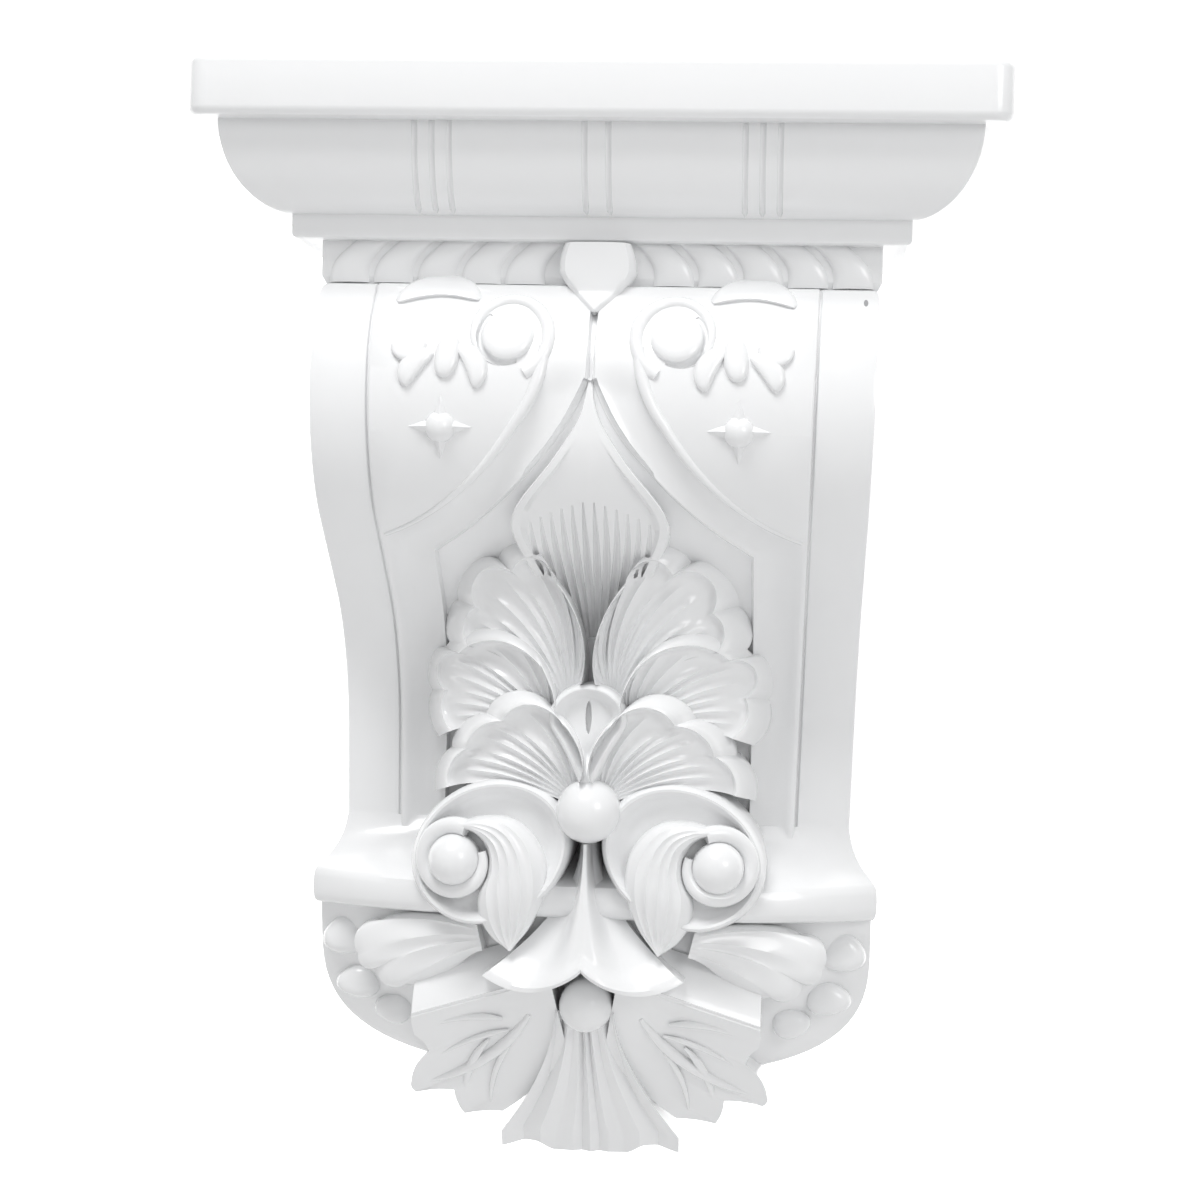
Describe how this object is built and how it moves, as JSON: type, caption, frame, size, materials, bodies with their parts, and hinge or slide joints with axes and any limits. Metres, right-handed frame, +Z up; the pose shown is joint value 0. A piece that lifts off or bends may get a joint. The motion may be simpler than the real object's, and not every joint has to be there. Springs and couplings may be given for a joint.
{
  "type": "corbel",
  "caption": "Moulded wall corbel with a shelf board, curled straps, fluted palmette, leaf tiers, paired scrolls and a hanging leaf.",
  "frame": {"origin": "on the flat back, on the centre line, 176.5 mm below the board's top, about halfway down to the tip of the hanging leaf", "axes": "+Z up, +Y into the wall, +X to the right seen from the front; the carved front faces -Y"},
  "size_m": [0.254, 0.094, 0.351],
  "materials": {
    "gloss_white": "smooth white gloss coat on a rigid foam moulding"
  },
  "bodies": {
    "root": {"corbel": "gloss_white"}
  },
  "joints": []
}
